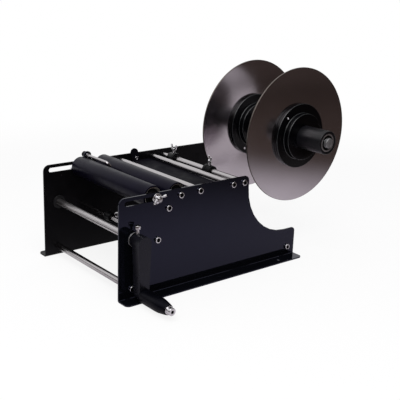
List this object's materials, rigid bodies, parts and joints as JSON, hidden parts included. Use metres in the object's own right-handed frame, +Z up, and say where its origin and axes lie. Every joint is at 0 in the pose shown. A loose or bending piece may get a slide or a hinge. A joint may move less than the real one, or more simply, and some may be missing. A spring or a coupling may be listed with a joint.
{
  "type": "manual label applicator",
  "caption": "Hand-cranked tabletop label applicator for round bottles, with rollers, a peel plate, web guides and a two-disc label reel.",
  "frame": {"origin": "centre of the bounding box, on the table under the feet", "axes": "+X towards the crank side, +Y from the bottle rollers to the label reel, +Z up"},
  "size_m": [0.389, 0.585, 0.3611],
  "materials": {
    "plate_enamel": "glossy black enamel",
    "crank_enamel": "satin black enamel",
    "roller_anodised": "dark blue-grey anodised, satin",
    "bar_steel": "ground and polished",
    "shaft_steel": "polished, with a lengthwise slit",
    "screw_steel": "bright zinc plate",
    "grip_plastic": "satin black",
    "bearing_black": "matt black",
    "collar_black": "satin black",
    "hub_black": "satin black",
    "spindle_black": "satin black",
    "disc_aluminium": "polished, with a soft mirror image",
    "bearing_steel": "ground rings with dark seals"
  },
  "bodies": {
    "frame": {"near_side_plate": "plate_enamel", "far_side_plate": "plate_enamel", "peel_bar": "bar_steel", "web_bar": "bar_steel", "guide_bar": "bar_steel", "lower_guide_bar": "bar_steel", "middle_tie_bar": "bar_steel", "front_tie_bar": "bar_steel", "rear_tie_bar": "bar_steel", "rear_roller_axle": "bar_steel", "peel_bar_screw": "screw_steel", "web_bar_screw": "screw_steel", "guide_bar_screw": "screw_steel", "lower_guide_bar_screw": "screw_steel", "middle_tie_bar_screw": "screw_steel", "front_tie_bar_screw": "screw_steel", "rear_tie_bar_screw": "screw_steel", "rear_roller_axle_screw": "screw_steel", "peel_plate": "plate_enamel", "peel_plate_screw": "screw_steel", "stop_bracket": "plate_enamel", "stop_bracket_screw": "screw_steel", "near_take_up_bush": "bearing_black", "far_take_up_bush": "bearing_black", "reel_axle": "bar_steel", "reel_axle_nut": "screw_steel", "reel_axle_cap": "screw_steel"},
    "roller_carriage": {"front_roller_axle": "bar_steel", "near_axle_washer": "screw_steel", "far_axle_washer": "screw_steel"},
    "front_roller_set": {"front_roller": "roller_anodised", "front_roller_near_bearing": "bearing_black", "front_roller_far_bearing": "bearing_black"},
    "near_nut": {"near_wing_nut": "screw_steel"},
    "far_nut": {"far_wing_nut": "screw_steel"},
    "rear_roller_set": {"rear_roller": "roller_anodised", "rear_roller_near_bearing": "bearing_black", "rear_roller_far_bearing": "bearing_black"},
    "far_guide": {"far_guide_collar": "collar_black"},
    "far_guide_lock": {"far_wing_screw": "screw_steel"},
    "near_guide": {"near_guide_collar": "collar_black"},
    "near_guide_lock": {"near_wing_screw": "screw_steel"},
    "lower_guide": {"lower_guide_collar": "collar_black"},
    "lower_guide_lock": {"lower_wing_screw": "screw_steel"},
    "bottle_stop": {"stop_rod": "bar_steel", "stop_knob": "grip_plastic"},
    "crank": {"take_up_shaft": "shaft_steel", "crank_arm": "crank_enamel", "crank_clamp_screw": "screw_steel", "grip_screw": "screw_steel"},
    "grip": {"crank_grip": "grip_plastic"},
    "reel": {"reel_spindle": "spindle_black", "near_spindle_bearing": "bearing_steel", "far_spindle_bearing": "bearing_steel"},
    "near_flange": {"near_disc": "disc_aluminium", "near_hub": "hub_black", "near_hub_screw": "screw_steel"},
    "far_flange": {"far_disc": "disc_aluminium", "far_hub": "hub_black", "far_hub_screw": "screw_steel"}
  },
  "joints": [
    {"name": "crank_spin", "type": "hinge", "parent": "frame", "child": "crank", "pos_m": [-0.04155, -0.2618, 0.1063], "axis": [1, 0, 0], "continuous": true},
    {"name": "grip_spin", "type": "hinge", "parent": "crank", "child": "grip", "pos_m": [-0.04155, -0.2618, 0.0163], "axis": [1, 0, 0], "continuous": true},
    {"name": "front_roller_slide", "type": "slide", "parent": "frame", "child": "roller_carriage", "axis": [0, 1, 0], "range_m": [-0.058, 0.0025]},
    {"name": "front_roller_spin", "type": "hinge", "parent": "roller_carriage", "child": "front_roller_set", "pos_m": [-0.04155, -0.2167, 0.1697], "axis": [1, 0, 0], "continuous": true},
    {"name": "near_nut_turn", "type": "hinge", "parent": "roller_carriage", "child": "near_nut", "pos_m": [-0.04155, -0.2167, 0.1697], "axis": [1, 0, 0], "continuous": true},
    {"name": "far_nut_turn", "type": "hinge", "parent": "roller_carriage", "child": "far_nut", "pos_m": [-0.04155, -0.2167, 0.1697], "axis": [1, 0, 0], "continuous": true},
    {"name": "rear_roller_spin", "type": "hinge", "parent": "frame", "child": "rear_roller_set", "pos_m": [-0.04155, -0.1669, 0.168], "axis": [1, 0, 0], "continuous": true},
    {"name": "far_guide_slide", "type": "slide", "parent": "frame", "child": "far_guide", "axis": [1, 0, 0], "range_m": [-0.028, 0.045]},
    {"name": "far_lock_turn", "type": "hinge", "parent": "far_guide", "child": "far_guide_lock", "pos_m": [-0.12655, -0.0218, 0.1683], "axis": [0, 0, 1], "continuous": true},
    {"name": "near_guide_slide", "type": "slide", "parent": "frame", "child": "near_guide", "axis": [1, 0, 0], "range_m": [-0.045, 0.08]},
    {"name": "near_lock_turn", "type": "hinge", "parent": "near_guide", "child": "near_guide_lock", "pos_m": [-0.01255, -0.0218, 0.1683], "axis": [0, 0, 1], "continuous": true},
    {"name": "lower_guide_slide", "type": "slide", "parent": "frame", "child": "lower_guide", "axis": [1, 0, 0], "range_m": [-0.09, 0.13]},
    {"name": "lower_lock_turn", "type": "hinge", "parent": "lower_guide", "child": "lower_guide_lock", "pos_m": [-0.06355, -0.2145, 0.0962], "axis": [0, 1, 0], "continuous": true},
    {"name": "stop_rod_slide", "type": "slide", "parent": "frame", "child": "bottle_stop", "axis": [1, 0, 0], "range_m": [-0.05, 0]},
    {"name": "reel_spin", "type": "hinge", "parent": "frame", "child": "reel", "pos_m": [-0.04155, 0.1589, 0.2275], "axis": [1, 0, 0], "continuous": true},
    {"name": "near_flange_slide", "type": "slide", "parent": "reel", "child": "near_flange", "axis": [1, 0, 0], "range_m": [-0.09, 0.06]},
    {"name": "far_flange_slide", "type": "slide", "parent": "reel", "child": "far_flange", "axis": [1, 0, 0], "range_m": [-0.064, 0.012]}
  ]
}
